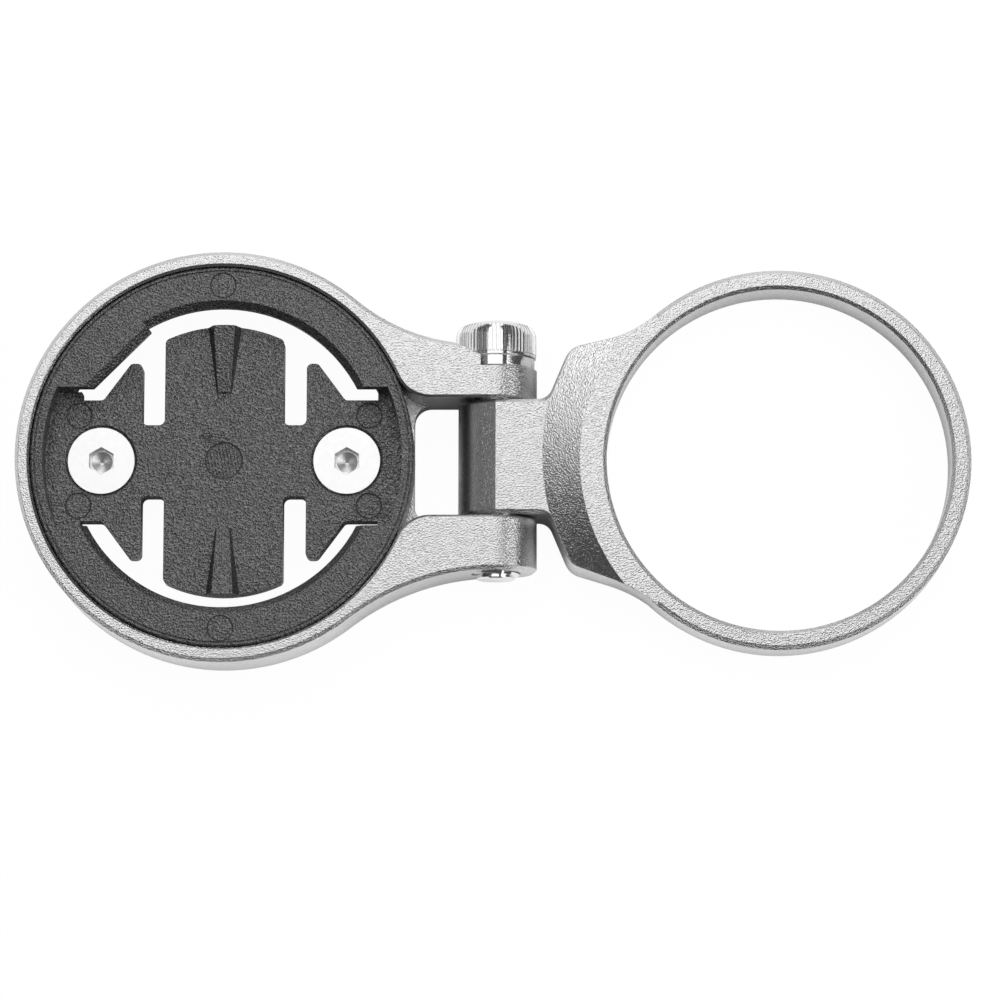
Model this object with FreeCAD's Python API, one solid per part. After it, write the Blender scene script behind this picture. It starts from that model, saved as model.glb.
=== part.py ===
import FreeCAD, Part
import math
import os

# Bike computer mount: a ring that slips over the steerer tube, hinged to a
# round cradle that holds a quarter-turn insert. Millimetres. The origin is the
# centre of the steerer bore, halfway up its ring. +Z runs up the steerer tube,
# and the cradle lies towards -X.

V = FreeCAD.Vector

# Steerer ring
STEERER_DIAMETER = 28.6
STEERER_CLEARANCE = 0.05
RING_WALL = 1.62
RING_HEIGHT = 5.0
RING_EDGE = 0.35
BORE_EDGE = 0.3

# Arm between the ring and the hinge, thicker than the ring, so its end is dished
ARM_HEIGHT = 6.8
DISH_MARGIN = 0.62
DISH_WIDTH = 3.1
SHOULDER_HALF = 9.05
SHOULDER_REACH = 17.45
SHOULDER_CORNER = 1.8
FLANK_HALF = 10.6
FLANK_REACH = 12.4
FLANK_BLEND = 11.5
NECK_REACH = 19.25
NECK_BLEND = 1.2
MERGE_ANGLE = 129.5
MERGE_DEPTH = 0.1
ARM_EDGE = 0.3

# Hinge
HINGE_REACH = 23.57
KNUCKLE_WIDTH = 9.6
BARREL_RADIUS = 3.15
EAR_CLEARANCE = 0.12
EAR_HALF = 9.42
UPPER_EAR_BLEND = 16.0
LOWER_EAR_BLEND = 20.0
SLOT_DEPTH = 6.85
SLOT_CORNER = 1.4
EAR_ROOT_ROUND = 3.0

# Hinge screw, M4 socket cap
HINGE_SCREW_DIAMETER = 4.0
HINGE_SCREW_LENGTH = 17.56
HINGE_SCREW_FIT = 0.05
HEAD_DIAMETER = 6.7
HEAD_HEIGHT = 4.0
HEAD_CROWN = 0.5
COLLAR_HEIGHT = 1.0
COLLAR_STEP = 0.15
HEX_SOCKET = 3.0
HEX_SOCKET_DEPTH = 2.0
SPOT_FACE_DEPTH = 1.82
SPOT_FACE_CLEARANCE = 0.25
SPOT_FACE_FLARE = 0.9
TIP_CHAMFER = 0.45

# Cradle
CRADLE_RADIUS = 17.2
CRADLE_WALL = 1.2
CRADLE_STANDOFF = 5.5
CRADLE_EDGE = 0.3
SLOT_EDGE = 0.2
LEDGE_HEIGHT = 2.0
LEDGE_WIDTH = 1.8
LUG_HALF = 3.2

# Quarter-turn insert
INSERT_CLEARANCE = 0.08
INSERT_RECESS = 0.15
RIM_CHAMFER = 0.15
RIM_GROOVE_INSET = 0.3
RIM_GROOVE_WIDTH = 0.12
RIM_GROOVE_DEPTH = 0.15
POCKET_WALL = 1.0
POCKET_HALF = 5.8
LIP_WIDTH = 3.35
LIP_THICKNESS = 1.4
LIP_CHAMFER = 0.55
LEAD_IN_DEPTH = 0.85
LEAD_IN_ANGLE = 135.0
LEAD_IN_RUN = 3.2
FLOOR_THICKNESS = 2.0
TONGUE_HALF = 4.97
TONGUE_GAP = 1.24
TONGUE_CORNER = 0.5
RELIEF_WIDTH = 1.9
RELIEF_START = 3.0
RELIEF_CORNER = 0.5
WING_HALF = 5.1
WING_GAP = 1.87
WING_TIP_WIDTH = 0.95
WING_SLOPE = 1.35
WING_CORNER = 0.45
LEFT_GAP_END = 3.0
RIGHT_GAP_END = 2.07

# Wedge ridges on the tongue
RIDGE_LENGTH = 5.6
RIDGE_LOW = 0.3
RIDGE_HIGH = 1.0
RIDGE_NARROW = 1.27
RIDGE_WIDE = 2.8
RIDGE_NARROW_TOP = 1.05
RIDGE_WIDE_TOP = 1.8

# Witness marks of the mould
MARK_RADIUS = 1.05
MARK_DEPTH = 0.06
MARK_INSET = 3.8
MARK_Y = 3.8
GATE_MARK_RADIUS = 1.52

# Insert screws, M3 countersunk
INSERT_SCREW_INSET = 5.67
INSERT_SCREW_DIAMETER = 3.0
INSERT_SCREW_LENGTH = 3.5
INSERT_SCREW_FIT = 0.03
INSERT_HEAD_DIAMETER = 5.6
INSERT_HEAD_LAND = 0.12
COUNTERSINK_MARGIN = 0.22
COUNTERSINK_GAP = 0.02
SHANK_HOLE_GAP = 0.1
INSERT_HEX = 2.0
INSERT_HEX_DEPTH = 0.9
INSERT_DRILL_RADIUS = 0.88
INSERT_DRILL_POINT = 0.4

# Derived heights and places
OVER = 1.0
RING_TOP = RING_HEIGHT / 2
UNDERSIDE = -RING_HEIGHT / 2
ARM_TOP = UNDERSIDE + ARM_HEIGHT
BORE_RADIUS = STEERER_DIAMETER / 2 + STEERER_CLEARANCE
RING_RADIUS = BORE_RADIUS + RING_WALL
HINGE_X = -HINGE_REACH
HINGE_Z = UNDERSIDE + ARM_HEIGHT / 2
CRADLE_X = HINGE_X - CRADLE_STANDOFF - CRADLE_RADIUS
SEAT_RADIUS = CRADLE_RADIUS - CRADLE_WALL
LEDGE_RADIUS = SEAT_RADIUS - LEDGE_WIDTH
INSERT_RADIUS = SEAT_RADIUS - INSERT_CLEARANCE
POCKET_RADIUS = INSERT_RADIUS - POCKET_WALL
LIP_RADIUS = INSERT_RADIUS - LIP_WIDTH
LEAD_IN_REACH = LIP_RADIUS - LEAD_IN_DEPTH
LIP_FACE_RADIUS = LIP_RADIUS + LIP_CHAMFER
TONGUE_RADIUS = LIP_RADIUS - TONGUE_GAP
RIDGE_START = TONGUE_RADIUS - RIDGE_LENGTH
KNUCKLE_HALF = KNUCKLE_WIDTH / 2
SLOT_HALF = KNUCKLE_HALF + EAR_CLEARANCE
SEAT_Y = EAR_HALF - SPOT_FACE_DEPTH
HINGE_HOLE_RADIUS = HINGE_SCREW_DIAMETER / 2 + HINGE_SCREW_FIT
LEDGE_TOP = UNDERSIDE + LEDGE_HEIGHT
FACE_TOP = ARM_TOP - INSERT_RECESS
FLOOR_TOP = LEDGE_TOP + FLOOR_THICKNESS
LIP_UNDER = FACE_TOP - LIP_THICKNESS
INSERT_HEAD_RADIUS = INSERT_HEAD_DIAMETER / 2
COUNTERSINK_RADIUS = INSERT_HEAD_RADIUS + COUNTERSINK_MARGIN
INSERT_HEAD_TOP = FLOOR_TOP - COUNTERSINK_MARGIN + COUNTERSINK_GAP + INSERT_HEAD_LAND


def outline(corners):
    """Closed flat wire through (x, y, radius) corners, each rounded by its radius."""
    arcs = []
    for i, (x, y, radius) in enumerate(corners):
        here = V(x, y, 0)
        back = (V(*corners[i - 1][:2], 0) - here).normalize()
        ahead = (V(*corners[(i + 1) % len(corners)][:2], 0) - here).normalize()
        half = back.getAngle(ahead) / 2
        run = radius / math.tan(half)
        inset = radius / math.sin(half) - radius
        nearest = here + (back + ahead).normalize() * inset
        arcs.append((here + back * run, nearest, here + ahead * run, radius))
    edges = []
    for i, (start, middle, end, radius) in enumerate(arcs):
        if radius > 0:
            edges.append(Part.Arc(start, middle, end).toShape())
        following = arcs[(i + 1) % len(arcs)][0]
        if end.distanceToPoint(following) > 1e-6:
            edges.append(Part.LineSegment(end, following).toShape())
    return Part.Wire(edges)


def plate(wire, low, high):
    """Solid between two heights over a flat wire."""
    face = Part.Face(wire)
    face.translate(V(0, 0, low))
    return face.extrude(V(0, 0, high - low))


def disc(radius, low, high, x=0.0, y=0.0):
    return Part.makeCylinder(radius, high - low, V(x, y, low))


def cross_rod(radius, start, end):
    """Cylinder on the hinge axis between two places along Y."""
    return Part.makeCylinder(radius, end - start, V(HINGE_X, start, HINGE_Z), V(0, 1, 0))


def cross_cone(start_radius, end_radius, start, end):
    """Cone on the hinge axis between two places along Y."""
    axis = V(0, 1, 0)
    return Part.makeCone(start_radius, end_radius, end - start, V(HINGE_X, start, HINGE_Z), axis)


def hexagon(across_flats, low, high, x=0.0):
    """Upright hexagonal prism with a corner on Y."""
    radius = across_flats / math.sqrt(3)
    turns = [math.radians(30 + 60 * i) for i in range(6)]
    corners = [(x + radius * math.cos(t), radius * math.sin(t), 0) for t in turns]
    return plate(outline(corners), low, high)


def mirrored(corners):
    """Corners of the upper half, then their mirror below the X axis."""
    return corners + [(x, -y, radius) for x, y, radius in reversed(corners)]


def break_rim_edges(solid, size):
    """Chamfers every edge that runs neither along Y nor along Z."""
    rims = [e for e in solid.Edges if e.BoundBox.XLength > 1e-4]
    return solid.makeChamfer(size, rims)


def ring():
    body = disc(RING_RADIUS, UNDERSIDE, RING_TOP)
    body = body.makeChamfer(RING_EDGE, [e for e in body.Edges if e.Curve.TypeId == "Part::GeomCircle"])
    bore = disc(BORE_RADIUS, UNDERSIDE, RING_TOP)
    body = body.cut(bore)
    mouths = [e for e in body.Edges
              if e.Curve.TypeId == "Part::GeomCircle" and abs(e.Curve.Radius - BORE_RADIUS) < 1e-6]
    return body.makeChamfer(BORE_EDGE, mouths)


def arm_plan():
    """Knuckle, neck and shoulders seen from above, ending inside the ring's wall."""
    turn = math.radians(MERGE_ANGLE)
    merge = RING_RADIUS - MERGE_DEPTH
    half = [
        (HINGE_X - ARM_HEIGHT, KNUCKLE_HALF, 0),
        (-NECK_REACH, KNUCKLE_HALF, NECK_BLEND),
        (-SHOULDER_REACH, SHOULDER_HALF, SHOULDER_CORNER),
        (-FLANK_REACH, FLANK_HALF, FLANK_BLEND),
        (merge * math.cos(turn), merge * math.sin(turn), 0),
    ]
    return outline(mirrored(half))


def arm_side():
    """Arm seen from the side: a slab whose end narrows by a facet to the round barrel."""
    facet = math.acos(BARREL_RADIUS / (ARM_HEIGHT / 2))
    drop = BARREL_RADIUS * math.cos(facet)
    back = BARREL_RADIUS * math.sin(facet)
    top_tangent = V(HINGE_X - back, 0, HINGE_Z + drop)
    low_tangent = V(HINGE_X - back, 0, HINGE_Z - drop)
    nose = V(HINGE_X - BARREL_RADIUS, 0, HINGE_Z)
    crease = V(HINGE_X, 0, ARM_TOP)
    low_crease = V(HINGE_X, 0, UNDERSIDE)
    edges = [
        Part.LineSegment(V(0, 0, ARM_TOP), crease).toShape(),
        Part.LineSegment(crease, top_tangent).toShape(),
        Part.Arc(top_tangent, nose, low_tangent).toShape(),
        Part.LineSegment(low_tangent, low_crease).toShape(),
        Part.LineSegment(low_crease, V(0, 0, UNDERSIDE)).toShape(),
        Part.LineSegment(V(0, 0, UNDERSIDE), V(0, 0, ARM_TOP)).toShape(),
    ]
    face = Part.Face(Part.Wire(edges))
    reach = RING_RADIUS + OVER
    face.translate(V(0, -reach, 0))
    return face.extrude(V(0, 2 * reach, 0))


def steerer_ring():
    arm = plate(arm_plan(), UNDERSIDE, ARM_TOP).common(arm_side())
    arm = break_rim_edges(arm, ARM_EDGE)
    dish_radius = RING_RADIUS + DISH_MARGIN
    slope = DISH_WIDTH / (ARM_TOP - RING_TOP)
    depth = ARM_TOP - RING_TOP + OVER
    dish = Part.makeCone(dish_radius, dish_radius + slope * depth, depth, V(0, 0, RING_TOP))
    arm = arm.cut(dish)
    arm = arm.cut(disc(BORE_RADIUS + RING_WALL / 2, UNDERSIDE - OVER, ARM_TOP + OVER))
    body = arm.fuse(ring()).removeSplitter()
    return body.cut(cross_rod(HINGE_HOLE_RADIUS, -KNUCKLE_HALF - OVER, KNUCKLE_HALF + OVER))


def ear_blend(side, radius):
    """Places where a hollow blend meets the ear's flank and the round frame, and its middle."""
    centre = V(CRADLE_X, 0, 0)
    span = CRADLE_RADIUS + radius
    rise = EAR_HALF + radius
    run = math.sqrt(span * span - rise * rise)
    blend_centre = centre + V(run, side * rise, 0)
    toward_frame = (centre - blend_centre).normalize()
    toward_flank = V(0, -side, 0)
    between = (toward_frame + toward_flank).normalize()
    return [blend_centre + way * radius for way in (toward_flank, between, toward_frame)]


def cradle_plan():
    """Round frame with its two ears, joined by long hollow blends."""
    upper_flat, upper_middle, upper_leave = ear_blend(1, UPPER_EAR_BLEND)
    lower_flat, lower_middle, lower_leave = ear_blend(-1, LOWER_EAR_BLEND)
    end_x = HINGE_X + ARM_HEIGHT
    upper_corner = V(end_x, EAR_HALF, 0)
    lower_corner = V(end_x, -EAR_HALF, 0)
    edges = [
        Part.LineSegment(lower_corner, upper_corner).toShape(),
        Part.LineSegment(upper_corner, upper_flat).toShape(),
        Part.Arc(upper_flat, upper_middle, upper_leave).toShape(),
        Part.Arc(upper_leave, V(CRADLE_X - CRADLE_RADIUS, 0, 0), lower_leave).toShape(),
        Part.Arc(lower_leave, lower_middle, lower_flat).toShape(),
        Part.LineSegment(lower_flat, lower_corner).toShape(),
    ]
    return Part.Wire(edges)


def cradle_side():
    """Cradle seen from the side: a slab with a full round at the hinge."""
    far = CRADLE_X - CRADLE_RADIUS - OVER
    reach = CRADLE_RADIUS + OVER
    slab = Part.makeBox(HINGE_X - far, 2 * reach, ARM_HEIGHT, V(far, -reach, UNDERSIDE))
    return slab.fuse(cross_rod(ARM_HEIGHT / 2, -reach, reach)).removeSplitter()


def ear_slot():
    """Space for the knuckle: a slot through the ears, widening into the insert's seat above."""
    end_x = HINGE_X + ARM_HEIGHT
    deep = [
        (end_x, SLOT_HALF, 0),
        (HINGE_X - SLOT_DEPTH, SLOT_HALF, SLOT_CORNER),
    ]
    slot = plate(outline(mirrored(deep)), UNDERSIDE - OVER, ARM_TOP + OVER)
    upper = Part.makeBox(end_x - CRADLE_X, 2 * SLOT_HALF, ARM_HEIGHT, V(CRADLE_X, -SLOT_HALF, LEDGE_TOP))
    rise = SLOT_HALF + EAR_ROOT_ROUND
    span = SEAT_RADIUS + EAR_ROOT_ROUND
    run = math.sqrt(span * span - rise * rise)
    share = SEAT_RADIUS / span
    low, high = LEDGE_TOP, ARM_TOP + OVER
    for side in (1, -1):
        corners = [
            (CRADLE_X + run, 0, 0),
            (CRADLE_X + run, side * rise, 0),
            (CRADLE_X + run * share, side * rise * share, 0),
            (CRADLE_X + run * share, 0, 0),
        ]
        wedge = plate(outline(corners), low, high)
        wedge = wedge.cut(disc(EAR_ROOT_ROUND, low, high, CRADLE_X + run, side * rise))
        upper = upper.fuse(wedge)
    return slot.fuse(upper)


def break_slot_edges(body):
    """Chamfers the edges of both slot walls, and what runs smoothly on from them."""
    rims = []
    for edge in body.Edges:
        box = edge.BoundBox
        on_wall = box.YLength < 1e-4 and abs(abs(box.YMin) - SLOT_HALF) < 1e-4
        if on_wall and box.XLength > 1e-4 and box.ZMax > LEDGE_TOP + 1e-4:
            rims.append(edge)
        if on_wall and box.XLength > 1e-4 and box.ZMax < UNDERSIDE + 1e-4:
            rims.append(edge)
    return body.makeChamfer(SLOT_EDGE, rims)


def screw_seat():
    """Counterbore for the hinge screw's head, flared where it leaves the ear."""
    radius = HEAD_DIAMETER / 2 + SPOT_FACE_CLEARANCE
    mouth = EAR_HALF - SPOT_FACE_FLARE
    cut = cross_rod(radius, SEAT_Y, EAR_HALF + OVER)
    return cut.fuse(cross_cone(radius, radius + SPOT_FACE_FLARE + OVER, mouth, EAR_HALF + OVER))


def screw_places():
    reach = INSERT_RADIUS - INSERT_SCREW_INSET
    return [CRADLE_X - reach, CRADLE_X + reach]


def lug(screw_x):
    """Round-ended tab from the ledge to one insert screw."""
    side = 1 if screw_x > CRADLE_X else -1
    wall_x = CRADLE_X + side * (LEDGE_RADIUS + INSERT_RADIUS) / 2
    low, high = UNDERSIDE - OVER, LEDGE_TOP + OVER
    corners = [(wall_x, LUG_HALF, 0), (screw_x, LUG_HALF, 0)]
    return plate(outline(mirrored(corners)), low, high).fuse(disc(LUG_HALF, low, high, screw_x))


def cradle():
    body = plate(cradle_plan(), UNDERSIDE, ARM_TOP).common(cradle_side())
    body = break_rim_edges(body, CRADLE_EDGE)
    body = body.cut(disc(SEAT_RADIUS, LEDGE_TOP, ARM_TOP + OVER, CRADLE_X))
    opening = disc(LEDGE_RADIUS, UNDERSIDE - OVER, LEDGE_TOP + OVER, CRADLE_X)
    for x in screw_places():
        opening = opening.cut(lug(x))
    body = body.cut(opening)
    body = break_slot_edges(body.cut(ear_slot()))
    body = body.cut(cross_rod(HINGE_HOLE_RADIUS, -EAR_HALF - OVER, EAR_HALF + OVER))
    body = body.cut(screw_seat())
    tapped = INSERT_SCREW_DIAMETER / 2 + INSERT_SCREW_FIT
    for x in screw_places():
        body = body.cut(disc(tapped, UNDERSIDE - OVER, LEDGE_TOP + OVER, x))
    return body


def insert_shell():
    """Outer wall of the insert with its two lips, pockets and rim groove."""
    shell = disc(INSERT_RADIUS, LEDGE_TOP, FACE_TOP, CRADLE_X)
    rim = [e for e in shell.Edges if e.BoundBox.ZMin > FACE_TOP - 1e-6 and e.BoundBox.XLength > 1]
    shell = shell.makeChamfer(RIM_CHAMFER, rim)
    shell = shell.cut(disc(POCKET_RADIUS, LEDGE_TOP - OVER, LIP_UNDER, CRADLE_X))
    shell = shell.cut(disc(LIP_RADIUS, LIP_UNDER - OVER, FACE_TOP + OVER, CRADLE_X))
    mouth_depth = OVER + LIP_CHAMFER
    mouth = Part.makeCone(
        LIP_RADIUS - OVER, LIP_FACE_RADIUS, mouth_depth, V(CRADLE_X, 0, FACE_TOP - mouth_depth))
    shell = shell.cut(mouth).fuse(lead_in()).removeSplitter()
    pocket = disc(POCKET_RADIUS, LIP_UNDER - OVER, FACE_TOP + OVER, CRADLE_X)
    width = 2 * INSERT_RADIUS
    band = Part.makeBox(width, 2 * POCKET_HALF, ARM_HEIGHT, V(CRADLE_X - INSERT_RADIUS, -POCKET_HALF, LEDGE_TOP))
    shell = shell.cut(pocket.common(band))
    outer = INSERT_RADIUS - RIM_GROOVE_INSET
    low = FACE_TOP - RIM_GROOVE_DEPTH
    groove = disc(outer, low, FACE_TOP + OVER, CRADLE_X)
    groove = groove.cut(disc(outer - RIM_GROOVE_WIDTH, low, FACE_TOP + OVER, CRADLE_X))
    return shell.cut(groove)


def lead_in():
    """Straight thickening at one end of a lip, where the computer's tab turns in under it."""
    outer = (LIP_RADIUS + POCKET_RADIUS) / 2
    slope_foot = FACE_TOP - LIP_CHAMFER
    corners = [
        (LEAD_IN_REACH, LIP_UNDER),
        (LEAD_IN_REACH, slope_foot),
        (LEAD_IN_REACH + LIP_CHAMFER, FACE_TOP),
        (outer, FACE_TOP),
        (outer, LIP_UNDER),
    ]
    profile = Part.makePolygon([V(x, -LEAD_IN_RUN, z) for x, z in corners + corners[:1]])
    bar = Part.Face(profile).extrude(V(0, LEAD_IN_RUN + outer, 0))
    bar.rotate(V(0, 0, 0), V(0, 0, 1), LEAD_IN_ANGLE)
    bar.translate(V(CRADLE_X, 0, 0))
    return bar.common(disc(outer, LIP_UNDER, FACE_TOP, CRADLE_X))


def wing_plan(side):
    """Side of the floor with its two pointed wings and the ends of its gaps, seen from above."""
    inner = TONGUE_HALF + RELIEF_WIDTH
    shoulder = inner + WING_TIP_WIDTH
    tip = math.sqrt((LIP_RADIUS - WING_GAP) ** 2 - inner ** 2)
    root = shoulder + (tip - WING_HALF) / WING_SLOPE
    gap_end = POCKET_RADIUS - (RIGHT_GAP_END if side > 0 else LEFT_GAP_END)
    half = [
        (CRADLE_X + side * inner, tip, WING_CORNER),
        (CRADLE_X + side * shoulder, tip, WING_CORNER),
        (CRADLE_X + side * root, WING_HALF, WING_CORNER),
        (CRADLE_X + side * gap_end, WING_HALF, 0),
        (CRADLE_X + side * gap_end, POCKET_HALF, 0),
        (CRADLE_X + side * math.sqrt(POCKET_RADIUS ** 2 - POCKET_HALF ** 2), POCKET_HALF, 0),
        (CRADLE_X + side * POCKET_RADIUS, WING_HALF, 0),
    ]
    return outline(mirrored(half))


def tongue():
    """Spring tongue from the middle of the floor to its top and bottom ends."""
    plan = Part.makeBox(
        2 * TONGUE_HALF, 2 * TONGUE_RADIUS, FLOOR_THICKNESS,
        V(CRADLE_X - TONGUE_HALF, -TONGUE_RADIUS, LEDGE_TOP))
    body = plan.common(disc(TONGUE_RADIUS, LEDGE_TOP, FLOOR_TOP, CRADLE_X))
    uprights = [e for e in body.Edges if e.BoundBox.XLength < 1e-6 and e.BoundBox.YLength < 1e-6
                and abs(abs(e.BoundBox.XMin - CRADLE_X) - TONGUE_HALF) < 1e-6]
    return body.makeFillet(TONGUE_CORNER, uprights)


def ridge(side):
    """Wedge on the tongue, wider and higher towards its end."""
    end = TONGUE_RADIUS + OVER
    grow = (end - RIDGE_START) / (TONGUE_RADIUS - RIDGE_START)
    sections = []
    for y, share in ((RIDGE_START, 0), (end, grow)):
        foot = (RIDGE_NARROW + (RIDGE_WIDE - RIDGE_NARROW) * share) / 2
        top = (RIDGE_NARROW_TOP + (RIDGE_WIDE_TOP - RIDGE_NARROW_TOP) * share) / 2
        height = RIDGE_LOW + (RIDGE_HIGH - RIDGE_LOW) * share
        corners = [(-foot, 0), (foot, 0), (top, height), (-top, height), (-foot, 0)]
        points = [V(CRADLE_X + x, side * y, FLOOR_TOP + z) for x, z in corners]
        sections.append(Part.makePolygon(points))
    wedge = Part.makeLoft(sections, True, True)
    return wedge.common(disc(TONGUE_RADIUS, LEDGE_TOP, FACE_TOP, CRADLE_X))


def insert_floor():
    floor = tongue()
    bridge_half = TONGUE_HALF + RELIEF_WIDTH + OVER
    floor = floor.fuse(Part.makeBox(
        2 * bridge_half, 2 * WING_HALF, FLOOR_THICKNESS, V(CRADLE_X - bridge_half, -WING_HALF, LEDGE_TOP)))
    for side in (1, -1):
        floor = floor.fuse(plate(wing_plan(side), LEDGE_TOP, FLOOR_TOP))
    inner = TONGUE_HALF
    outer = TONGUE_HALF + RELIEF_WIDTH
    for side in (1, -1):
        for rise in (1, -1):
            corners = [
                (CRADLE_X + side * inner, rise * RELIEF_START, RELIEF_CORNER),
                (CRADLE_X + side * outer, rise * RELIEF_START, RELIEF_CORNER),
                (CRADLE_X + side * outer, rise * INSERT_RADIUS, 0),
                (CRADLE_X + side * inner, rise * INSERT_RADIUS, 0),
            ]
            floor = floor.cut(plate(outline(corners), LEDGE_TOP - OVER, FACE_TOP))
    return floor.removeSplitter()


def quarter_turn_insert():
    body = insert_shell().fuse(insert_floor()).fuse(ridge(1)).fuse(ridge(-1)).removeSplitter()
    for x in screw_places():
        depth = COUNTERSINK_RADIUS
        sink = Part.makeCone(0, COUNTERSINK_RADIUS + OVER, depth + OVER, V(x, 0, FLOOR_TOP - depth))
        hole = disc(INSERT_SCREW_DIAMETER / 2 + SHANK_HOLE_GAP, LEDGE_TOP - OVER, FLOOR_TOP, x)
        body = body.cut(sink.fuse(hole))
    mark_x = INSERT_RADIUS - MARK_INSET
    for side in (1, -1):
        for rise in (1, -1):
            body = body.cut(disc(
                MARK_RADIUS, FLOOR_TOP - MARK_DEPTH, FACE_TOP, CRADLE_X + side * mark_x, rise * MARK_Y))
        lip_middle = side * (LIP_FACE_RADIUS + INSERT_RADIUS - RIM_GROOVE_INSET) / 2
        body = body.cut(disc(MARK_RADIUS, FACE_TOP - MARK_DEPTH, FACE_TOP + OVER, CRADLE_X, lip_middle))
    return body.cut(disc(GATE_MARK_RADIUS, FLOOR_TOP - MARK_DEPTH, FACE_TOP, CRADLE_X))


def insert_screw(x):
    """Countersunk screw, seated in the floor's countersink, with a drilled hexagon socket."""
    radius = INSERT_SCREW_DIAMETER / 2
    land_low = INSERT_HEAD_TOP - INSERT_HEAD_LAND
    head = disc(INSERT_HEAD_RADIUS, land_low, INSERT_HEAD_TOP, x)
    depth = INSERT_HEAD_RADIUS - radius
    cone = Part.makeCone(radius, INSERT_HEAD_RADIUS, depth, V(x, 0, land_low - depth))
    shank = disc(radius, INSERT_HEAD_TOP - INSERT_SCREW_LENGTH, land_low, x)
    body = head.fuse(cone).fuse(shank).removeSplitter()
    socket_floor = INSERT_HEAD_TOP - INSERT_HEX_DEPTH
    socket = hexagon(INSERT_HEX, socket_floor, INSERT_HEAD_TOP + OVER, x)
    drill_low = socket_floor - INSERT_DRILL_POINT
    drill = Part.makeCone(0, INSERT_DRILL_RADIUS, INSERT_DRILL_POINT, V(x, 0, drill_low))
    return body.cut(socket).cut(drill)


def hinge_screw():
    """Socket cap screw: crowned head, collar and shank, entering from +Y."""
    radius = HEAD_DIAMETER / 2
    head_end = SEAT_Y + HEAD_HEIGHT
    head = cross_rod(radius, SEAT_Y + COLLAR_HEIGHT, head_end)
    crown = [e for e in head.Edges if e.BoundBox.YMin > head_end - 1e-6]
    head = head.makeChamfer(HEAD_CROWN, crown)
    collar = cross_rod(radius - COLLAR_STEP, SEAT_Y, SEAT_Y + COLLAR_HEIGHT)
    tip = SEAT_Y - HINGE_SCREW_LENGTH
    shank_radius = HINGE_SCREW_DIAMETER / 2
    shank = cross_rod(shank_radius, tip + TIP_CHAMFER, SEAT_Y)
    point = cross_cone(shank_radius - TIP_CHAMFER, shank_radius, tip, tip + TIP_CHAMFER)
    body = head.fuse(collar).fuse(shank).fuse(point).removeSplitter()
    socket = hexagon(HEX_SOCKET, 0, HEX_SOCKET_DEPTH + OVER)
    socket.rotate(V(0, 0, 0), V(1, 0, 0), -90)
    socket.translate(V(HINGE_X, head_end - HEX_SOCKET_DEPTH, HINGE_Z))
    return body.cut(socket)


def save(node, shape):
    shape.exportStep("parts/%s.step" % node)


os.makedirs("parts", exist_ok=True)
save("steerer_ring", steerer_ring())
save("cradle", cradle())
save("quarter_turn_insert", quarter_turn_insert())
save("insert_screw_left", insert_screw(screw_places()[0]))
save("insert_screw_right", insert_screw(screw_places()[1]))
save("hinge_screw", hinge_screw())
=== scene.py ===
import math

import bpy
from mathutils import Matrix, Vector


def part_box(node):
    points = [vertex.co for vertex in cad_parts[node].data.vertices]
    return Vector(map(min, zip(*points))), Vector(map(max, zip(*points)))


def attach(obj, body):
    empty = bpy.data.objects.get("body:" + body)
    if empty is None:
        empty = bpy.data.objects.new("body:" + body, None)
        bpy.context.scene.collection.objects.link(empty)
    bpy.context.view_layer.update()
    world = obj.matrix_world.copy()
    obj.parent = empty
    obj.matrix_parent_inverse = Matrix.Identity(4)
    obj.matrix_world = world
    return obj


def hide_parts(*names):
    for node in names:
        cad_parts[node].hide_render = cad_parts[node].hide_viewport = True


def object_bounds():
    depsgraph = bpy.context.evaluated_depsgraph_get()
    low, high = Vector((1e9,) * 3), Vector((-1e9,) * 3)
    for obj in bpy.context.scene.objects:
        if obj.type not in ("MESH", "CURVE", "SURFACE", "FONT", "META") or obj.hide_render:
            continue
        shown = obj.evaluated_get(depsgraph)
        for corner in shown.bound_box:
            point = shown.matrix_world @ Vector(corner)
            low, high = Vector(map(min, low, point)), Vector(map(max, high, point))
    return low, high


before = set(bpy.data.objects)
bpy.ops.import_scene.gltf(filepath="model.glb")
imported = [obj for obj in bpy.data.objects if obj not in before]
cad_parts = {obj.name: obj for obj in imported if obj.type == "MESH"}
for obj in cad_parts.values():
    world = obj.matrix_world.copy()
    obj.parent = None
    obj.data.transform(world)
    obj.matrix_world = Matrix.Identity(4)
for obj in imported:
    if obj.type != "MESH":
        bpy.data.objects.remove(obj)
CAD_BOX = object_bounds()

MM = 0.001

# Camera, solved from the walls seen by parallax: metres, radians and pixels
IMAGE = 1001
CAMERA_PLACE = (-0.01833, -0.06218, 0.40292)
CAMERA_LEAN_X = -0.0121
CAMERA_LEAN_Y = 0.1455
CAMERA_ROLL = 0.0018
FOCAL_PIXELS = 4873.8
SENSOR_WIDTH_MM = 36

# Soft boxes: place, the spot that each faces, width and height in metres, brightness against paper
SOFT_BOXES = {
    "overhead_strip": ((-0.05, 0.595, 0.5), (-0.05, 0.595, 0), 0.4, 1.21, 1.45),
    "right_box": ((0.625, -0.24, 0.5), (0.625, -0.24, 0), 0.65, 0.72, 1.8),
    "back_box": ((0, 1.2, 0.25), (0, 0, 0.25), 0.5, 0.5, 1.3),
    "low_left_box": ((-1.1, 0.6, 0.14), (0, 0, 0.1), 2.0, 0.28, 0.7),
    "left_box": ((-0.7, 0.1, 0.6), (0, 0, 0), 0.6, 1.0, 0.12),
}
ROOM_LEVEL = 0.08

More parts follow.
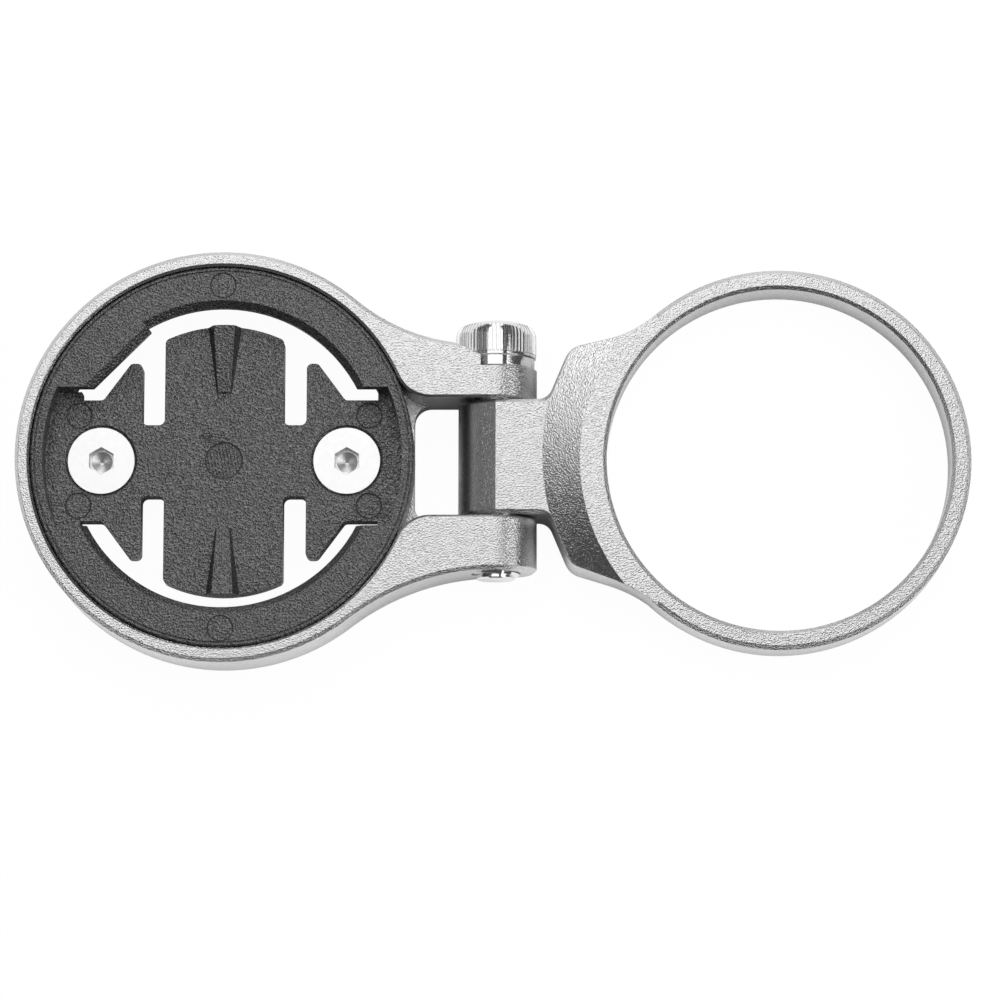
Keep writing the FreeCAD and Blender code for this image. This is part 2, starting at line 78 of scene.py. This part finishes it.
# Floor: how much of it shows as plain glowing paper to the eye and in the metal, without shadows
FLOOR_REACH = 1.5
PAPER_GLOW = 1.05
GLOW_SEEN = 0.92
GLOW_MIRRORED = 0.88
# Painted shade in the metal: the floor's mirrored glow fades out where ambient occlusion finds the
# object close, over this reach in mm and between these openness values
NOOK_SHADE_REACH = 6.0
NOOK_SHADE_OPENNESS = (0.42, 0.62)

# Hinge screw, an M4 cap screw, in millimetres
HEAD_HEIGHT = 4.0
HEAD_CROWN = 1.2
KNURL_RIDGES = 62
KNURL_RISE = 0.15
RIDGE_WIDTH = 0.32
RIDGE_TOP_SHARE = 0.5
KNURL_END = 2.7
LAND_START = 2.75
LAND_END = 2.95
LAND_STEP = 0.02
COLLAR_START = 3.07
COLLAR_STEP = 0.15
SEAT_CHAMFER_HEIGHT = 0.16
SEAT_CHAMFER_WIDTH = 0.2
SHANK_RADIUS = 2.0
TIP_CHAMFER = 0.1
THREAD_PITCH = 0.7
THREAD_TURNS = 3.0
THREAD_START = 0.4
THREAD_DEPTH = 0.4
THREAD_LENGTH = 2.8
THREAD_RIB_RADIUS = 0.26
THREAD_RIB_RISE = 0.12
HEX_SOCKET = 3.0
HEX_SOCKET_DEPTH = 2.0

# Witness marks on the insert: millimetres from its centre, and degrees
FLOOR_MARK = (12.12, 3.8)
LIP_MARK = (0.0, 14.37)
MARK_RADIUS = 1.05
MARK_LINE_HALF = 0.06
GATE_RADIUS = 1.52
HATCH_RADIUS = 1.42
HATCH_PITCH = 0.28
HATCH_TURN = -10
SCAR_PLACE = (-0.8, 1.85)
SCAR_SIZE = (1.3, 0.42)
SCAR_TURN = -8

# Sizes of grain, depths of relief and radii of worn edges, in millimetres
PEBBLE_SIZE = 0.13
PEBBLE_DEPTH = 0.04
METAL_PATCH = 0.5
METAL_EDGE = 0.08
LEATHER_SIZE = 0.18
LEATHER_DEPTH = 0.13
NYLON_EDGE = 0.07
ZINC_MOTTLE = 0.25
ZINC_DEPTH = 0.001
ZINC_EDGE = 0.06
NICKEL_SPECKLE = 0.12
NICKEL_DEPTH = 0.003
NICKEL_EDGE = 0.03


# Colours and nodes

def colour(code):
    """sRGB hex to the linear colour that Blender mixes."""
    channels = [int(code[i:i + 2], 16) / 255 for i in (1, 3, 5)]
    linear = [c / 12.92 if c <= 0.04045 else ((c + 0.055) / 1.055) ** 2.4 for c in channels]
    return (*linear, 1.0)


def add(tree, kind, links=None, values=None, **settings):
    """Adds one node: links and values go to its inputs, settings to its own fields."""
    node = tree.nodes.new(kind)
    for name, value in settings.items():
        setattr(node, name, value)
    for socket, value in (values or {}).items():
        node.inputs[socket].default_value = value
    for socket, source in (links or {}).items():
        tree.links.new(source, node.inputs[socket])
    return node


def new_material(name):
    material = bpy.data.materials.new(name)
    material.use_nodes = True
    material.node_tree.nodes.clear()
    return material, material.node_tree


def sums(tree, operation, first, second):
    """One arithmetic step: each side is a node's output or a plain number."""
    links, values = {}, {}
    for socket, side in ((0, first), (1, second)):
        if isinstance(side, (int, float)):
            values[socket] = side
        else:
            links[socket] = side
    return add(tree, "ShaderNodeMath", links, values, operation=operation).outputs[0]


def grain(tree, size_mm, detail=2.0):
    """Noise on the piece's own coordinates, one bump about size_mm across."""
    place = add(tree, "ShaderNodeTexCoord")
    noise = add(tree, "ShaderNodeTexNoise", {"Vector": place.outputs["Object"]},
                {"Scale": 1 / (size_mm * MM), "Detail": detail, "Roughness": 0.5})
    return noise.outputs["Fac"]


def spread(tree, source, low, high):
    """Maps 0.3 to 0.7, where most of a noise lies, to low to high."""
    ramp = add(tree, "ShaderNodeMapRange", {"Value": source},
               {"From Min": 0.3, "From Max": 0.7, "To Min": low, "To Max": high})
    return ramp.outputs["Result"]


def mix(tree, share, low, high):
    """Blends two colours by a share."""
    return add(tree, "ShaderNodeMixRGB", {"Fac": share},
               {"Color1": colour(low), "Color2": colour(high)}).outputs["Color"]


def bump(tree, height, depth_mm, base):
    node = add(tree, "ShaderNodeBump", {"Height": height, "Normal": base},
               {"Strength": 1.0, "Distance": depth_mm * MM})
    return node.outputs["Normal"]


def worn_edge(tree, radius_mm):
    """Normal that rolls over an edge, as a broken or moulded edge does."""
    return add(tree, "ShaderNodeBevel", values={"Radius": radius_mm * MM}, samples=6).outputs["Normal"]


def finish_material(tree, links, values):
    shader = add(tree, "ShaderNodeBsdfPrincipled", links, values)
    add(tree, "ShaderNodeOutputMaterial", {"Surface": shader.outputs["BSDF"]})


# Finishes

def blasted_aluminium():
    """Bead-blasted, clear anodised aluminium: pale satin metal with a crisp pebbled grain."""
    material, tree = new_material("bead_blasted_anodised_aluminium")
    pebbles = grain(tree, PEBBLE_SIZE, 1.0)
    normal = bump(tree, pebbles, PEBBLE_DEPTH, worn_edge(tree, METAL_EDGE))
    tone = mix(tree, spread(tree, pebbles, 0, 1), "#C8C8C8", "#D6D6D6")
    satin = spread(tree, grain(tree, METAL_PATCH), 0.16, 0.24)
    finish_material(tree, {"Base Color": tone, "Normal": normal, "Roughness": satin}, {"Metallic": 1.0})
    return material


def grained_nylon():
    """Injection-moulded nylon from a spark-eroded tool: near black, with a leathery grain whose
    tops shine and whose pits, like the mould marks, are dull; its colour is painted sheen and shade,
    lighter on the grain's tops, darker in its pits, and near black on the rings and scar as painted
    shade in their grooves."""
    material, tree = new_material("moulded_black_nylon")
    leather = grain(tree, LEATHER_SIZE, 1.0)
    ring, hatch, scar = mould_marks(tree)
    relief = sums(tree, "ADD", leather, sums(tree, "MULTIPLY", hatch, 0.25))
    marks = sums(tree, "MAXIMUM", ring, scar)
    sunk = sums(tree, "ADD", marks, sums(tree, "MULTIPLY", scar, 3.0))
    relief = sums(tree, "SUBTRACT", relief, sunk)
    normal = bump(tree, relief, LEATHER_DEPTH, worn_edge(tree, NYLON_EDGE))
    # Painted sheen and shade: the colour is lighter on the grain's tops and darker in its pits, and near
    # black on the rings and scar as the shade in their grooves
    outside_mark_shade = sums(tree, "SUBTRACT", 1.0, marks)
    tone = sums(tree, "MULTIPLY", spread(tree, leather, -0.2, 1.2), outside_mark_shade)
    dull = sums(tree, "ADD", spread(tree, leather, 0.45, 0.08), sums(tree, "MULTIPLY", marks, 0.5))
    finish_material(tree, {"Base Color": mix(tree, tone, "#040404", "#505050"), "Normal": normal,
                           "Roughness": dull},
                    {"Metallic": 0.0, "IOR": 1.75, "Specular IOR Level": 1.0})
    return material


def mould_marks(tree):
    """Rings round the ejector and gate marks, the gate's cut strokes and a scar beside it, all of
    them on faces that look up."""
    low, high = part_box("quarter_turn_insert")
    centre = (low + high) / 2
    place = add(tree, "ShaderNodeTexCoord")
    local = add(tree, "ShaderNodeVectorMath", {0: place.outputs["Object"]},
                {1: (centre.x, centre.y, 0)}, operation="SUBTRACT")
    flat = add(tree, "ShaderNodeVectorMath", {0: local.outputs["Vector"]}, {1: (1, 1, 0)},
               operation="MULTIPLY")
    folded = add(tree, "ShaderNodeVectorMath", {0: flat.outputs["Vector"]}, operation="ABSOLUTE")

    def distance(source, point):
        return add(tree, "ShaderNodeVectorMath", {0: source.outputs["Vector"]},
                   {1: (point[0] * MM, point[1] * MM, 0)}, operation="DISTANCE").outputs["Value"]

    def line(away, radius):
        """1 on a thin circle of that radius, 0 elsewhere."""
        off = sums(tree, "ABSOLUTE", sums(tree, "SUBTRACT", away, radius * MM), 0.0)
        return sums(tree, "LESS_THAN", off, MARK_LINE_HALF * MM)

    floor_ring = line(distance(folded, FLOOR_MARK), MARK_RADIUS)
    lip_ring = line(distance(folded, LIP_MARK), MARK_RADIUS)
    from_gate = distance(flat, (0, 0))
    gate_ring = line(from_gate, GATE_RADIUS)
    ring = sums(tree, "MAXIMUM", sums(tree, "MAXIMUM", floor_ring, lip_ring), gate_ring)

    slanted = add(tree, "ShaderNodeVectorRotate", {"Vector": local.outputs["Vector"]},
                  {"Angle": math.radians(HATCH_TURN)}, rotation_type="Z_AXIS")
    strokes = add(tree, "ShaderNodeTexWave", {"Vector": slanted.outputs["Vector"]},
                  {"Scale": 1 / (3.1 * HATCH_PITCH * MM), "Distortion": 1.5}, bands_direction="X")
    on_gate = sums(tree, "LESS_THAN", from_gate, HATCH_RADIUS * MM)
    hatch = sums(tree, "MULTIPLY", strokes.outputs["Fac"], on_gate)

    oval = add(tree, "ShaderNodeMapping", {"Vector": flat.outputs["Vector"]},
               {"Location": (SCAR_PLACE[0] * MM, SCAR_PLACE[1] * MM, 0),
                "Rotation": (0, 0, math.radians(SCAR_TURN)),
                "Scale": (SCAR_SIZE[0] * MM, SCAR_SIZE[1] * MM, MM)}, vector_type="TEXTURE")
    reach = add(tree, "ShaderNodeVectorMath", {0: oval.outputs["Vector"]}, operation="LENGTH")
    tears = add(tree, "ShaderNodeTexWave", {"Vector": oval.outputs["Vector"]},
                {"Scale": 0.47, "Distortion": 6.0, "Detail": 1.0, "Detail Scale": 3.0},
                bands_direction="Y")
    torn = sums(tree, "GREATER_THAN", tears.outputs["Fac"], 0.62)
    scar = sums(tree, "MULTIPLY", torn, sums(tree, "LESS_THAN", reach.outputs["Value"], 1.0))

    facing = add(tree, "ShaderNodeSeparateXYZ", {"Vector": place.outputs["Normal"]}).outputs["Z"]
    upper = sums(tree, "GREATER_THAN", facing, 0.5)
    return [sums(tree, "MULTIPLY", mark, upper) for mark in (ring, hatch, scar)]


def zinc_plate():
    """Bright zinc plate over a turned face: almost white, with a soft shine, duller in the socket."""
    material, tree = new_material("bright_zinc_plated_steel")
    mottle = grain(tree, ZINC_MOTTLE)
    place = add(tree, "ShaderNodeTexCoord")
    height = add(tree, "ShaderNodeSeparateXYZ", {"Vector": place.outputs["Object"]}).outputs["Z"]
    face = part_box("insert_screw_left")[1].z
    deep = add(tree, "ShaderNodeMapRange", {"Value": height},
               {"From Min": face - 0.3 * MM, "From Max": face - 0.05 * MM, "To Min": 1, "To Max": 0})
    socket = deep.outputs["Result"]
    normal = bump(tree, mottle, ZINC_DEPTH, worn_edge(tree, ZINC_EDGE))
    dull = sums(tree, "ADD", spread(tree, mottle, 0.28, 0.32), sums(tree, "MULTIPLY", socket, 0.1))
    finish_material(tree, {"Base Color": mix(tree, socket, "#E6E6E6", "#F4F4F4"),
                           "Normal": normal, "Roughness": dull},
                    {"Metallic": 1.0})
    return material


def nickel_plate():
    """Bright nickel plate: a mirror that shows the dark and light of the room."""
    material, tree = new_material("bright_nickel_plated_steel")
    speckle = grain(tree, NICKEL_SPECKLE)
    normal = bump(tree, speckle, NICKEL_DEPTH, worn_edge(tree, NICKEL_EDGE))
    finish_material(tree, {"Normal": normal, "Roughness": spread(tree, speckle, 0.05, 0.12)},
                    {"Metallic": 1.0, "Base Color": colour("#ECECEC")})
    return material


def pale_floor():
    """White paper: near white for the eye and in the metal, with the object's faint shadow kept,
    and, as painted shade, dark in the metal where the object stands close round it."""
    material, tree = new_material("white_paper_floor")
    path = add(tree, "ShaderNodeLightPath")
    paper = add(tree, "ShaderNodeBsdfDiffuse", values={"Color": colour("#F0F0F0")})
    glow = add(tree, "ShaderNodeEmission", values={"Color": colour("#FFFFFF"), "Strength": PAPER_GLOW})
    # Painted shade: ambient occlusion takes the mirrored glow away where the object stands close round
    # the floor, so the metal shows the floor dark there
    nook_shade = add(tree, "ShaderNodeAmbientOcclusion", values={"Distance": NOOK_SHADE_REACH * MM}, samples=8)
    unshaded_floor = add(tree, "ShaderNodeMapRange", {"Value": nook_shade.outputs["AO"]},
                     {"From Min": NOOK_SHADE_OPENNESS[0], "From Max": NOOK_SHADE_OPENNESS[1]})
    mirrored = sums(tree, "MAXIMUM", path.outputs["Is Glossy Ray"], path.outputs["Is Transmission Ray"])
    mirrored = sums(tree, "MULTIPLY", mirrored, unshaded_floor.outputs["Result"])
    share = sums(tree, "MAXIMUM", sums(tree, "MULTIPLY", path.outputs["Is Camera Ray"], GLOW_SEEN),
                 sums(tree, "MULTIPLY", mirrored, GLOW_MIRRORED))
    mixed = add(tree, "ShaderNodeMixShader",
                {0: share, 1: paper.outputs["BSDF"], 2: glow.outputs["Emission"]})
    add(tree, "ShaderNodeOutputMaterial", {"Surface": mixed.outputs["Shader"]})
    return material


# Camera, floor and lights

def link_object(name, data):
    thing = bpy.data.objects.new(name, data)
    bpy.context.scene.collection.objects.link(thing)
    return thing


def aim(thing, target):
    direction = Vector(target) - thing.location
    thing.rotation_euler = direction.to_track_quat("-Z", "Y").to_euler()


def set_camera():
    """Camera at the photograph's place: about 0.4 m above, leaning 8 degrees towards -Y."""
    camera = link_object("camera", bpy.data.cameras.new("camera"))
    camera.location = CAMERA_PLACE
    look = Vector((math.tan(CAMERA_LEAN_X), math.tan(CAMERA_LEAN_Y), -1)).normalized()
    right = look.cross(Vector((0, 1, 0))).normalized()
    upright = Matrix((right, right.cross(look), -look)).transposed()
    camera.rotation_euler = (upright @ Matrix.Rotation(CAMERA_ROLL, 3, "Z")).to_euler()
    camera.data.sensor_width = SENSOR_WIDTH_MM
    camera.data.lens = FOCAL_PIXELS * SENSOR_WIDTH_MM / IMAGE
    camera.data.clip_start = 0.01
    bpy.context.scene.camera = camera


def soft_box(name, place, target, width, height, level):
    """Area lamp whose face is that many times as bright as white paper in its light."""
    data = bpy.data.lights.new(name, "AREA")
    data.shape = "RECTANGLE"
    data.size = width
    data.size_y = height
    data.energy = math.pi * width * height * level
    lamp = link_object(name, data)
    lamp.location = place
    aim(lamp, target)


def set_stage():
    """White floor under the part, soft boxes round it, and a nearly dark room."""
    low = CAD_BOX[0][2]
    mesh = bpy.data.meshes.new("floor")
    corners = [(x * FLOOR_REACH, y * FLOOR_REACH, low) for x, y in ((-1, -1), (1, -1), (1, 1), (-1, 1))]
    mesh.from_pydata(corners, [], [(0, 1, 2, 3)])
    floor = link_object("floor", mesh)
    floor.data.materials.append(pale_floor())
    for name, box in SOFT_BOXES.items():
        soft_box(name, *box)
    world = bpy.data.worlds.new("room")
    world.use_nodes = True
    world.node_tree.nodes.clear()
    sky = add(world.node_tree, "ShaderNodeBackground",
              values={"Color": colour("#FFFFFF"), "Strength": ROOM_LEVEL})
    add(world.node_tree, "ShaderNodeOutputWorld", {"Surface": sky.outputs["Background"]})
    bpy.context.scene.world = world
    bpy.context.scene.view_settings.view_transform = "Standard"


# Hinge screw

def screw_axis():
    """The hinge screw's axis place, head radius and two ends, from its solid's box."""
    low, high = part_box("hinge_screw")
    middle = (low + high) / 2
    return middle.x, middle.z, (high.x - low.x) / 2, low.y, high.y


def turned(name, profile, steps):
    """Closed body turned about the hinge screw's axis from (radius, y) places, ends on the axis."""
    axis_x, axis_z = screw_axis()[:2]
    verts, faces = [], []
    for radius, y in profile[1:-1]:
        for i in range(steps):
            turn = 2 * math.pi * i / steps
            verts.append((axis_x + radius * math.cos(turn), y, axis_z + radius * math.sin(turn)))
    rings = len(profile) - 2
    for ring in range(rings - 1):
        for i in range(steps):
            after = (i + 1) % steps
            faces.append((ring * steps + i, ring * steps + after,
                          (ring + 1) * steps + after, (ring + 1) * steps + i))
    for end, ring in ((0, 0), (-1, rings - 1)):
        pole = len(verts)
        verts.append((axis_x, profile[end][1], axis_z))
        for i in range(steps):
            edge = (ring * steps + (i + 1) % steps, ring * steps + i)
            faces.append((*(edge if end == 0 else edge[::-1]), pole))
    mesh = bpy.data.meshes.new(name)
    mesh.from_pydata(verts, [], faces)
    return mesh


def screw_profile():
    """Half section of the screw from its head's end to its tip, in metres."""
    head_radius, tip, end = screw_axis()[2:]
    core = head_radius - KNURL_RISE * MM
    crown = HEAD_CROWN * MM
    points = [(0, end)]
    for i in range(9):
        turn = math.radians(90 * i / 8)
        points.append((core - crown + crown * math.sin(turn), end - crown + crown * math.cos(turn)))
    land = head_radius - LAND_STEP * MM
    collar = head_radius - COLLAR_STEP * MM
    root = (SHANK_RADIUS - THREAD_DEPTH) * MM
    seat = end - HEAD_HEIGHT * MM
    points += [
        (core, end - KNURL_END * MM),
        (land, end - LAND_START * MM),
        (land, end - LAND_END * MM),
        (collar, end - COLLAR_START * MM),
        (collar, seat + SEAT_CHAMFER_HEIGHT * MM),
        (collar - SEAT_CHAMFER_WIDTH * MM, seat),
        (SHANK_RADIUS * MM, seat),
        (SHANK_RADIUS * MM, tip + THREAD_LENGTH * MM),
        (root, tip + (THREAD_LENGTH - THREAD_DEPTH) * MM),
        (root, tip + TIP_CHAMFER * MM),
        (root - TIP_CHAMFER * MM, tip),
        (0, tip),
    ]
    return points


def baked(thing):
    """Plain mesh of an object with its modifiers applied; the modifiers then go."""
    graph = bpy.context.evaluated_depsgraph_get()
    mesh = bpy.data.meshes.new_from_object(thing.evaluated_get(graph))
    thing.modifiers.clear()
    thing.data = mesh
    return thing


def hexagon_plug(low, high):
    """Hexagonal prism on the screw's axis, as cut by the socket."""
    axis_x, axis_z = screw_axis()[:2]
    radius = HEX_SOCKET * MM / math.sqrt(3)
    corners = [(radius * math.cos(math.radians(60 * i)), radius * math.sin(math.radians(60 * i)))
               for i in range(6)]
    verts = [(axis_x + x, y, axis_z + z) for y in (low, high) for x, z in corners]
    sides = [(i, 6 + i, 6 + (i + 1) % 6, (i + 1) % 6) for i in range(6)]
    mesh = bpy.data.meshes.new("socket_plug")
    mesh.from_pydata(verts, [], sides + [tuple(range(6)), tuple(range(11, 5, -1))])
    return link_object("socket_plug", mesh)


def node_group(name, inputs):
    """Empty geometry node group with the named sizes as inputs; gives the group and its input node."""
    group = bpy.data.node_groups.new(name, "GeometryNodeTree")
    group.interface.new_socket("Geometry", in_out="INPUT", socket_type="NodeSocketGeometry")
    for label, kind in inputs:
        group.interface.new_socket(label, in_out="INPUT", socket_type=kind)
    group.interface.new_socket("Geometry", in_out="OUTPUT", socket_type="NodeSocketGeometry")
    return group, add(group, "NodeGroupInput")


def end_group(group, sizes, geometry):
    """Places the form on the hinge axis, makes it real, gives it its material and ends the group."""
    placed = add(group, "GeometryNodeTransform",
                 {"Geometry": geometry, "Translation": sizes.outputs["Place"]},
                 {"Rotation": (math.radians(-90), 0, 0)})
    real = add(group, "GeometryNodeRealizeInstances", {"Geometry": placed.outputs["Geometry"]})
    dressed = add(group, "GeometryNodeSetMaterial",
                  {"Geometry": real.outputs["Geometry"], "Material": sizes.outputs["Material"]})
    add(group, "NodeGroupOutput", {"Geometry": dressed.outputs["Geometry"]})


def knurl_group():
    """Flat-topped ridges round a knurled head, bent in over its crown, about the local Z axis."""
    group, sizes = node_group("straight_knurl", [
        ("Ridges", "NodeSocketInt"), ("Ridge Size", "NodeSocketVector"),
        ("Top Share", "NodeSocketFloat"), ("Head Radius", "NodeSocketFloat"),
        ("Crown", "NodeSocketFloat"), ("Crown Start", "NodeSocketFloat"),
        ("Place", "NodeSocketVector"), ("Material", "NodeSocketMaterial")])
    bar = add(group, "GeometryNodeMeshCube", {"Size": sizes.outputs["Ridge Size"]},
              {"Vertices X": 2, "Vertices Y": 2, "Vertices Z": 14})
    size = add(group, "ShaderNodeSeparateXYZ", {"Vector": sizes.outputs["Ridge Size"]}).outputs
    position = add(group, "GeometryNodeInputPosition").outputs["Position"]
    spot = add(group, "ShaderNodeSeparateXYZ", {"Vector": position}).outputs
    along = sums(group, "ADD", spot["Z"], sums(group, "MULTIPLY", size["Z"], 0.5))
    crown = sizes.outputs["Crown"]
    over = sums(group, "MAXIMUM", sums(group, "SUBTRACT", along, sizes.outputs["Crown Start"]), 0.0)
    reach = sums(group, "SUBTRACT", sums(group, "MULTIPLY", crown, crown),
                 sums(group, "MULTIPLY", over, over))
    fall = sums(group, "SUBTRACT", crown, sums(group, "SQRT", reach, 0.0))
    depth = sums(group, "ADD", sums(group, "DIVIDE", spot["X"], size["X"]), 0.5)
    inward = sums(group, "ADD", fall,
                  sums(group, "MULTIPLY", size["X"], sums(group, "SUBTRACT", 1.0, depth)))
    narrow = sums(group, "SUBTRACT", 1.0, sums(group, "MULTIPLY", depth,
                                               sums(group, "SUBTRACT", 1.0, sizes.outputs["Top Share"])))
    shaped = add(group, "ShaderNodeCombineXYZ", {
        "X": sums(group, "SUBTRACT", sizes.outputs["Head Radius"], inward),
        "Y": sums(group, "MULTIPLY", spot["Y"], narrow),
        "Z": along})
    bar = add(group, "GeometryNodeSetPosition",
              {"Geometry": bar.outputs["Mesh"], "Position": shaped.outputs[0]})
    spots = add(group, "GeometryNodePoints", {"Count": sizes.outputs["Ridges"]})
    turn = sums(group, "DIVIDE", 2 * math.pi, sizes.outputs["Ridges"])
    index = add(group, "GeometryNodeInputIndex")
    spin = add(group, "ShaderNodeCombineXYZ",
               {"Z": sums(group, "MULTIPLY", index.outputs["Index"], turn)})
    ridges = add(group, "GeometryNodeInstanceOnPoints",
                 {"Points": spots.outputs["Points"], "Instance": bar.outputs["Geometry"],
                  "Rotation": spin.outputs["Vector"]})
    end_group(group, sizes, ridges.outputs["Instances"])
    return group


def thread_group():
    """Helical rib of a screw thread about the local Z axis."""
    group, sizes = node_group("screw_thread", [
        ("Turns", "NodeSocketFloat"), ("Pitch", "NodeSocketFloat"),
        ("Root Radius", "NodeSocketFloat"), ("Rib Radius", "NodeSocketFloat"),
        ("Place", "NodeSocketVector"), ("Material", "NodeSocketMaterial")])
    height = sums(group, "MULTIPLY", sizes.outputs["Turns"], sizes.outputs["Pitch"])
    helix = add(group, "GeometryNodeCurveSpiral",
                {"Rotations": sizes.outputs["Turns"], "Start Radius": sizes.outputs["Root Radius"],
                 "End Radius": sizes.outputs["Root Radius"], "Height": height},
                {"Resolution": 48})
    profile = add(group, "GeometryNodeCurvePrimitiveCircle", {"Radius": sizes.outputs["Rib Radius"]},
                  {"Resolution": 6})
    rib = add(group, "GeometryNodeCurveToMesh",
              {"Curve": helix.outputs["Curve"], "Profile Curve": profile.outputs["Curve"]},
              {"Fill Caps": True})
    end_group(group, sizes, rib.outputs["Mesh"])
    return group


def grown(name, group, sizes):
    """Object made by a node group from named sizes, baked to a plain mesh."""
    thing = link_object(name, bpy.data.meshes.new(name))
    modifier = thing.modifiers.new(name, "NODES")
    modifier.node_group = group
    sockets = {s.name: s.identifier for s in group.interface.items_tree
               if s.item_type == "SOCKET" and s.in_out == "INPUT"}
    for label, value in sizes.items():
        modifier[sockets[label]] = value
    return baked(thing)


def hinge_screw():
    """Cap screw with a knurled head, a hexagon socket and a thread at its tip."""
    axis_x, axis_z, head_radius, tip, end = screw_axis()
    screw = link_object("hinge_screw_body", turned("hinge_screw_body", screw_profile(), 96))
    screw.data.materials.append(NICKEL)
    plug = hexagon_plug(end - HEX_SOCKET_DEPTH * MM, end + MM)
    cut = screw.modifiers.new("socket", "BOOLEAN")
    cut.operation = "DIFFERENCE"
    cut.solver = "EXACT"
    cut.object = plug
    baked(screw)
    bpy.data.objects.remove(plug)
    knurl = grown("hinge_screw_knurl", knurl_group(), {
        "Ridges": KNURL_RIDGES,
        "Ridge Size": (2 * KNURL_RISE * MM, RIDGE_WIDTH * MM, (KNURL_END - 0.3) * MM),
        "Top Share": RIDGE_TOP_SHARE,
        "Head Radius": head_radius,
        "Crown": HEAD_CROWN * MM,
        "Crown Start": (KNURL_END - HEAD_CROWN) * MM,
        "Place": (axis_x, end - KNURL_END * MM, axis_z),
        "Material": NICKEL})
    thread = grown("hinge_screw_thread", thread_group(), {
        "Turns": THREAD_TURNS,
        "Pitch": THREAD_PITCH * MM,
        "Root Radius": (SHANK_RADIUS - THREAD_DEPTH + THREAD_RIB_RISE) * MM,
        "Rib Radius": THREAD_RIB_RADIUS * MM,
        "Place": (axis_x, tip + THREAD_START * MM, axis_z),
        "Material": NICKEL})
    for piece in (screw, knurl, thread):
        piece.data.set_sharp_from_angle(angle=math.radians(35))
        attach(piece, "computer_side")
    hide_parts("hinge_screw")


def paint(node, material):
    """Gives a CAD piece its finish through its own material slots."""
    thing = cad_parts[node]
    for slot in thing.material_slots:
        slot.material = material


set_camera()
set_stage()

ALUMINIUM = blasted_aluminium()
NYLON = grained_nylon()
ZINC = zinc_plate()
NICKEL = nickel_plate()
paint("steerer_ring", ALUMINIUM)
paint("cradle", ALUMINIUM)
paint("quarter_turn_insert", NYLON)
paint("insert_screw_left", ZINC)
paint("insert_screw_right", ZINC)
hinge_screw()
